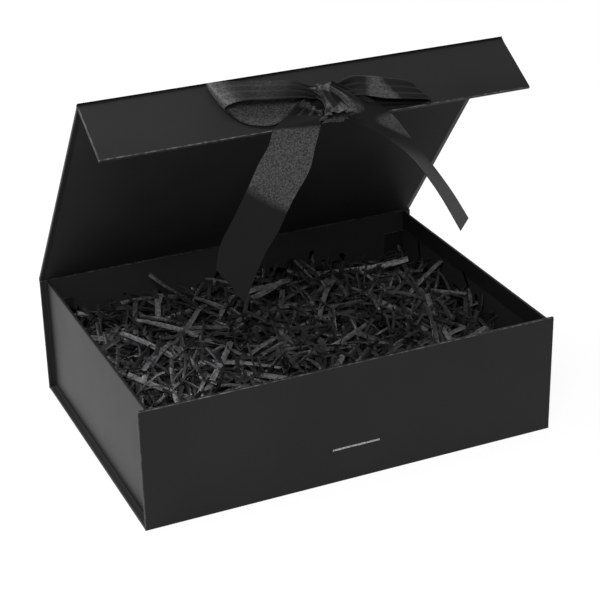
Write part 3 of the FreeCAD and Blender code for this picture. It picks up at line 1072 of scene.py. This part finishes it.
def heap_height(x, y):
    """Height of the heap's top at a place in the box."""
    middle = (HEAP_LOW.y + HEAP_HIGH.y) / 2
    across = (y - middle) / (HEAP_HIGH.y - middle)
    share = x / HEAP_HIGH.x
    lump = noise.fractal(Vector((x * LUMPS_PER_METRE, y * LUMPS_PER_METRE, 1.7)), 0.9, 2.1, 3)
    drop = HEAP_END_DROP * share ** 2 + HEAP_RIGHT_DROP * max(share, 0) ** 3
    return HEAP_EDGE - drop + HEAP_CROWN * (1 - across ** 2) + HEAP_LUMP * lump


def heap_surface(name, columns, rows, margin, sink):
    """Grid over the heap's top, kept off the walls by a margin and sunk below the top."""
    verts = []
    for i in range(rows + 1):
        y = HEAP_LOW.y + margin + (HEAP_HIGH.y - HEAP_LOW.y - 2 * margin) * i / rows
        for j in range(columns + 1):
            x = HEAP_LOW.x + margin + (HEAP_HIGH.x - HEAP_LOW.x - 2 * margin) * j / columns
            verts.append((x, y, heap_height(x, y) - sink))
    return new_object(name, new_mesh(name, verts, grid_faces(rows, columns)))


class GIFTBOX_OT_fill(bpy.types.Operator):
    """Fill the box with crinkled shreds of black paper"""

    bl_idname = "gift_box.fill"
    bl_label = "Shredded paper"

    # Strips of each kind: length, crinkle and curl. How they lie: tilt, lowest and highest lift, and lowest
    # and highest tone, which sets the painted glint. Lengths are in metres and angles in radians.
    CRINKLED = (50 * MM, 0.16, 5.0)
    CRINKLED_LIE = (0.5, (-3 * MM, 5 * MM), (0.0, 0.6))
    LONG = (74 * MM, 0.07, 2.6)
    LONG_LIE = (0.26, (2 * MM, 8 * MM), (0.25, 1.0))
    # What the long strips add to the seed, and the smallest and largest scale of a strip
    LOOSE_SEED = 5
    SMALLEST, LARGEST = 0.65, 1.2

    def execute(self, context):
        fill = context.scene.gift_box_fill
        bed = self.bed()
        crinkled = self.patterns("crinkled", fill.shred_width, *self.CRINKLED)
        long_ones = self.patterns("long", fill.loose_width, *self.LONG)
        surface = heap_surface("shred_surface", columns=40, rows=30, margin=6 * MM, sink=0)
        heap = self.scattered(
            surface, crinkled, "shreds_heap", fill.bed_count, fill.seed, *self.CRINKLED_LIE)
        loose = self.scattered(
            surface, long_ones, "shreds_loose", fill.loose_count, fill.seed + self.LOOSE_SEED, *self.LONG_LIE)
        for piece in (heap, loose):
            self.kept_inside(piece)
            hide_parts("shred_fill")
            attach(piece, "box")
        dressed(bed, "box", ["shred_fill"], shred_paper())
        bpy.data.objects.remove(surface)
        for collection in (crinkled, long_ones):
            for strip in list(collection.objects):
                bpy.data.objects.remove(strip)
            bpy.data.collections.remove(collection)
        return {"FINISHED"}

    def bed(self):
        """Lumpy crust of matted shreds under the loose ones."""
        # Crust thickness, and its tone: at one half the crust gets no painted glint
        crust, glint_tone = 6 * MM, 0.5
        bed = heap_surface("shred_bed", columns=64, rows=46, margin=0, sink=4 * MM)
        shades = bed.data.attributes.new("shade", "FLOAT", "POINT")
        shades.data.foreach_set("value", [glint_tone] * len(bed.data.vertices))
        return thickened(bed, crust, -1)

    def patterns(self, kind, width, length, crinkle, curl):
        """Collection of differently bent strips of paper."""
        collection = bpy.data.collections.new(f"shreds_{kind}")
        bpy.context.scene.collection.children.link(collection)
        for number in range(SHRED_PATTERNS):
            mesh = self.strip_mesh(f"{kind}_{number}", width, length, crinkle, curl, number)
            collection.objects.link(bpy.data.objects.new(f"{kind}_{number}", mesh))
        return collection

    def strip_mesh(self, name, width, length, crinkle, curl, number):
        """One strip of paper: bent and twisted, and for some patterns folded over."""
        pieces = 10
        step = length / pieces
        ridge = 0.2 * width * (1 if number % 2 else -1)
        # Turns over the whole strip, in radians
        most_twist, most_sway, fold_over = 4.2, 1.6, 2.3
        half = SHRED_THICKNESS / 2
        section = ((-1, -half), (0, ridge - half), (1, -half), (1, half), (0, ridge + half), (-1, half))
        sides = len(section)

        def chance(key):
            return noise.noise(Vector((number * 5.31 + key, key * 2.7, 0.4)))

        bend = curl * chance(1.3) / pieces
        twist = most_twist * chance(2.9) / pieces
        sway = most_sway * chance(4.1) / pieces
        fold_at = 3 + number % 6 if number % 4 == 1 else None
        turned = Matrix.Identity(3)
        spot = Vector((0, 0, 0))
        line = []
        for i in range(pieces + 1):
            line.append((spot.copy(), turned.copy()))
            pitch = bend + (crinkle if i % 2 else -crinkle) * (1 + chance(i + 7.7))
            if i == fold_at:
                pitch += fold_over
            turned = turned @ Matrix.Rotation(pitch, 3, "Y")
            turned = turned @ Matrix.Rotation(twist, 3, "X")
            turned = turned @ Matrix.Rotation(sway, 3, "Z")
            spot = spot + turned @ Vector((step, 0, 0))
        middle = sum((place for place, _ in line), Vector()) / len(line)
        verts = []
        for place, turned in line:
            for across, level in section:
                verts.append(place - middle + turned @ Vector((0, across * width / 2, level)))
        last = sides * pieces
        faces = tube_faces(pieces, sides)
        faces.append(tuple(reversed(range(sides))))
        faces.append(tuple(range(last, last + sides)))
        mesh = new_mesh(name, verts, faces)
        mesh.set_sharp_from_angle(angle=SHARP_ANGLE)
        return mesh

    def scatter_tree(self, name, collection, glint_tones):
        """Node tree that strews strips over a surface, each turned, lifted and sized by chance, with a painted
        glint of chance strength.
        """
        tree = bpy.data.node_groups.new(name, "GeometryNodeTree")
        sides = tree.interface
        sides.new_socket("Geometry", in_out="INPUT", socket_type="NodeSocketGeometry")
        sockets = {}
        for label in ("Count per area", "Seed", "Tilt", "Lowest", "Highest"):
            kind = "NodeSocketInt" if label == "Seed" else "NodeSocketFloat"
            sockets[label] = sides.new_socket(label, in_out="INPUT", socket_type=kind).identifier
        sides.new_socket("Geometry", in_out="OUTPUT", socket_type="NodeSocketGeometry")

        def node(kind, inputs, **settings):
            """A node with its properties set and its inputs linked or filled."""
            made = tree.nodes.new(kind)
            for key, value in settings.items():
                setattr(made, key, value)
            for key, value in inputs.items():
                if isinstance(value, bpy.types.NodeSocket):
                    tree.links.new(value, made.inputs[key])
                else:
                    made.inputs[key].default_value = value
            return made

        enter = node("NodeGroupInput", {}).outputs
        seed, tilt = enter["Seed"], enter["Tilt"]
        points = node("GeometryNodeDistributePointsOnFaces", {
            "Mesh": enter["Geometry"], "Density": enter["Count per area"], "Seed": seed})
        lift = node("FunctionNodeRandomValue", {2: enter["Lowest"], 3: enter["Highest"], "Seed": seed})
        rise = node("ShaderNodeCombineXYZ", {"Z": lift.outputs[1]})
        moved = node("GeometryNodeSetPosition", {
            "Geometry": points.outputs["Points"], "Offset": rise.outputs["Vector"]})
        strips = node("GeometryNodeCollectionInfo", {
            "Collection": collection, "Separate Children": True, "Reset Children": True})
        down = node("ShaderNodeMath", {0: tilt, 1: -1.0}, operation="MULTIPLY").outputs[0]
        low = node("ShaderNodeCombineXYZ", {"X": down, "Y": down, "Z": -math.pi})
        high = node("ShaderNodeCombineXYZ", {"X": tilt, "Y": tilt, "Z": math.pi})
        turn = node("FunctionNodeRandomValue", {}, data_type="FLOAT_VECTOR")
        for key, value in ((0, low.outputs["Vector"]), (1, high.outputs["Vector"]), ("Seed", seed)):
            tree.links.new(value, turn.inputs[key])
        size = node("FunctionNodeRandomValue", {2: self.SMALLEST, 3: self.LARGEST})
        placed = node("GeometryNodeInstanceOnPoints", {
            "Points": moved.outputs["Geometry"], "Instance": strips.outputs["Instances"],
            "Pick Instance": True, "Rotation": turn.outputs[0], "Scale": size.outputs[1]})
        # Strength of each strip's painted glint, stored on it as its shade
        glint_strength = node("FunctionNodeRandomValue", {2: glint_tones[0], 3: glint_tones[1]})
        stored = node("GeometryNodeStoreNamedAttribute", {
            "Geometry": placed.outputs["Instances"], "Name": "shade", "Value": glint_strength.outputs[1],
        }, domain="INSTANCE")
        real = node("GeometryNodeRealizeInstances", {"Geometry": stored.outputs["Geometry"]})
        paint = node("GeometryNodeSetMaterial", {
            "Geometry": real.outputs["Geometry"], "Material": shred_paper()})
        node("NodeGroupOutput", {"Geometry": paint.outputs["Geometry"]})
        return tree, sockets

    def scattered(self, surface, collection, name, count, seed, tilt, lifts, glint_tones):
        """A plain mesh of strips strewn over a surface, lifted by chance and given a painted glint of chance
        strength, each between two values.
        """
        tree, sockets = self.scatter_tree(f"{name}_tree", collection, glint_tones)
        scatter = surface.modifiers.new("scatter", "NODES")
        scatter.node_group = tree
        area = sum(p.area for p in surface.data.polygons)
        values = {
            "Count per area": count / area, "Seed": seed, "Tilt": tilt,
            "Lowest": lifts[0], "Highest": lifts[1],
        }
        for label, value in values.items():
            scatter[sockets[label]] = value
        graph = bpy.context.evaluated_depsgraph_get()
        mesh = bpy.data.meshes.new_from_object(surface.evaluated_get(graph))
        surface.modifiers.clear()
        bpy.data.node_groups.remove(tree)
        mesh.name = name
        if not mesh.polygons:
            raise RuntimeError(f"{name} has no shreds")
        return new_object(name, mesh)

    def kept_inside(self, piece):
        """Bend the shreds that meet a wall up along it, and keep all of them under the lid."""
        # How much a shred climbs a wall, and how far those near the lid are pressed together
        climb, headroom = 0.2, 5 * MM
        squeeze, most = 0.15, 12 * MM
        count = len(piece.data.vertices)
        spots = np.empty(count * 3)
        piece.data.vertices.foreach_get("co", spots)
        spots = spots.reshape(-1, 3)
        lows = (HEAP_LOW.x, HEAP_LOW.y)
        highs = (HEAP_HIGH.x, HEAP_HIGH.y)
        for axis in (0, 1):
            over = np.maximum(spots[:, axis] - highs[axis], 0) + np.maximum(lows[axis] - spots[:, axis], 0)
            spots[:, axis] = np.clip(spots[:, axis], lows[axis], highs[axis])
            spots[:, 2] += climb * over
        ceiling = FRONT_HIGH.z - headroom
        crowded = np.maximum(spots[:, 2] - ceiling, 0)
        spots[:, 2] = np.minimum(spots[:, 2], ceiling) + squeeze * np.minimum(crowded, most)
        piece.data.vertices.foreach_set("co", spots.ravel())
        piece.data.update()


class GIFTBOX_OT_stage(bpy.types.Operator):
    """Set up the white floor, the soft light and the camera"""

    bl_idname = "gift_box.stage"
    bl_label = "Stage"

    # Soft lights, in metres: place and side of each, and the spot that they shine on
    KEY_PLACE, KEY_SIZE = Vector((-0.82, 0.4, 1.33)), 0.7
    FRONT_PLACE, FRONT_SIZE = Vector((-0.65, -1.1, 1.2)), 0.5
    LIT_SPOT = Vector((0, 0, 0.12))
    # Floor: half its side and its level, in metres, and how much of its shadow is washed out
    FLOOR_HALF = 4.0
    FLOOR_LEVEL = -0.3 * MM
    WASHED_OUT = 0.93

    def execute(self, context):
        stage = context.scene.gift_box_stage
        self.camera(context, stage)
        self.floor()
        self.sky(context, stage)
        self.soft_light(context, "key_light", self.KEY_PLACE, self.KEY_SIZE, stage.key_power)
        self.soft_light(context, "front_light", self.FRONT_PLACE, self.FRONT_SIZE, stage.front_power)
        context.scene.view_settings.view_transform = "Standard"
        return {"FINISHED"}

    def camera(self, context, stage):
        """Camera that looks down on the box from the front, at the left."""
        azimuth, elevation = stage.camera_azimuth, stage.camera_elevation
        right = Vector((math.cos(azimuth), math.sin(azimuth), 0))
        back = Vector((
            math.sin(azimuth) * math.cos(elevation),
            -math.cos(azimuth) * math.cos(elevation),
            math.sin(elevation),
        ))
        up = back.cross(right)
        level, tilted = math.cos(stage.camera_roll), math.sin(stage.camera_roll)
        axes = Matrix((right * level + up * tilted, up * level - right * tilted, back))
        rotation = axes.transposed().to_4x4()
        data = bpy.data.cameras.new("camera")
        data.lens_unit = "FOV"
        data.angle = stage.camera_angle
        data.clip_start = 0.01
        data.clip_end = 100
        camera = bpy.data.objects.new("camera", data)
        camera.matrix_world = Matrix.Translation(Vector(stage.camera_place)) @ rotation
        context.scene.collection.objects.link(camera)
        context.scene.camera = camera

    @staticmethod
    def seen(tree):
        """Value that is 1 for rays that show the background."""
        path = tree.nodes.new("ShaderNodeLightPath")
        total = path.outputs["Is Camera Ray"]
        for ray in ("Is Glossy Ray", "Is Transmission Ray"):
            larger = tree.nodes.new("ShaderNodeMath")
            larger.operation = "MAXIMUM"
            tree.links.new(total, larger.inputs[0])
            tree.links.new(path.outputs[ray], larger.inputs[1])
            total = larger.outputs[0]
        return total

    def floor(self):
        """White floor that keeps a faint shadow of the box."""
        half, level = self.FLOOR_HALF, self.FLOOR_LEVEL
        corners = [(-half, -half, level), (half, -half, level), (half, half, level), (-half, half, level)]
        floor = new_object("floor", new_mesh("floor", corners, [(0, 1, 2, 3)], smooth=False))
        white = Shader("white_floor")
        tree = white.tree
        white.give(Base_Color=(0.86, 0.86, 0.86, 1), Roughness=0.8, Specular_IOR_Level=0.1)
        glow = white.add("ShaderNodeEmission")
        keep = white.add("ShaderNodeMath", operation="MULTIPLY")
        keep.inputs[1].default_value = self.WASHED_OUT
        white.link(self.seen(tree), keep.inputs[0])
        blend = white.add("ShaderNodeMixShader")
        white.link(keep.outputs[0], blend.inputs["Fac"])
        white.link(white.surface.outputs["BSDF"], blend.inputs[1])
        white.link(glow.outputs["Emission"], blend.inputs[2])
        white.link(blend.outputs["Shader"], tree.nodes["Material Output"].inputs["Surface"])
        floor.data.materials.append(white.material)

    def sky(self, context, stage):
        """White surroundings."""
        world = bpy.data.worlds.new("white_surroundings")
        context.scene.world = world
        world.use_nodes = True
        tree = world.node_tree
        plain = tree.nodes["Background"]
        plain.inputs["Color"].default_value = (1, 1, 1, 1)
        plain.inputs["Strength"].default_value = stage.sky_strength
        shown = tree.nodes.new("ShaderNodeBackground")
        shown.inputs["Color"].default_value = (1, 1, 1, 1)
        shown.inputs["Strength"].default_value = 1.0
        path = tree.nodes.new("ShaderNodeLightPath")
        blend = tree.nodes.new("ShaderNodeMixShader")
        tree.links.new(path.outputs["Is Camera Ray"], blend.inputs["Fac"])
        tree.links.new(plain.outputs["Background"], blend.inputs[1])
        tree.links.new(shown.outputs["Background"], blend.inputs[2])
        tree.links.new(blend.outputs["Shader"], tree.nodes["World Output"].inputs["Surface"])

    def soft_light(self, context, name, place, size, power):
        """Square soft light that shines on the middle of the box."""
        data = bpy.data.lights.new(name, "AREA")
        data.shape = "SQUARE"
        data.size = size
        data.energy = power
        light = bpy.data.objects.new(name, data)
        turn = (place - self.LIT_SPOT).to_track_quat("Z", "Y")
        light.matrix_world = Matrix.Translation(place) @ turn.to_matrix().to_4x4()
        context.scene.collection.objects.link(light)


STEPS = (
    GIFTBOX_OT_stage,
    GIFTBOX_OT_case,
    GIFTBOX_OT_creases,
    GIFTBOX_OT_hardware,
    GIFTBOX_OT_bow,
    GIFTBOX_OT_tails,
    GIFTBOX_OT_fill,
)


class GIFTBOX_PT_panel(bpy.types.Panel):
    """Sizes, colours and steps of the gift box"""

    bl_idname = "GIFTBOX_PT_panel"
    bl_label = "Gift Box"
    bl_space_type = "VIEW_3D"
    bl_region_type = "UI"
    bl_category = "Gift Box"

    def draw(self, context):
        for key in SETTINGS:
            group = getattr(context.scene, key)
            box = self.layout.box()
            for name in group.__annotations__:
                box.prop(group, name)
        for step in STEPS:
            self.layout.operator(step.bl_idname)


SETTINGS = {
    "gift_box_paper": GiftBoxPaper,
    "gift_box_ribbon": GiftBoxRibbon,
    "gift_box_fill": GiftBoxFill,
    "gift_box_stage": GiftBoxStage,
}


def register():
    for key, group in SETTINGS.items():
        bpy.utils.register_class(group)
        setattr(bpy.types.Scene, key, bpy.props.PointerProperty(type=group))
    for step in STEPS:
        bpy.utils.register_class(step)
    bpy.utils.register_class(GIFTBOX_PT_panel)


def unregister():
    bpy.utils.unregister_class(GIFTBOX_PT_panel)
    for step in reversed(STEPS):
        bpy.utils.unregister_class(step)
    for key, group in SETTINGS.items():
        delattr(bpy.types.Scene, key)
        bpy.utils.unregister_class(group)


def main():
    register()
    for step in STEPS:
        family, name = step.bl_idname.split(".")
        getattr(getattr(bpy.ops, family), name)()


if __name__ == "__main__":
    main()
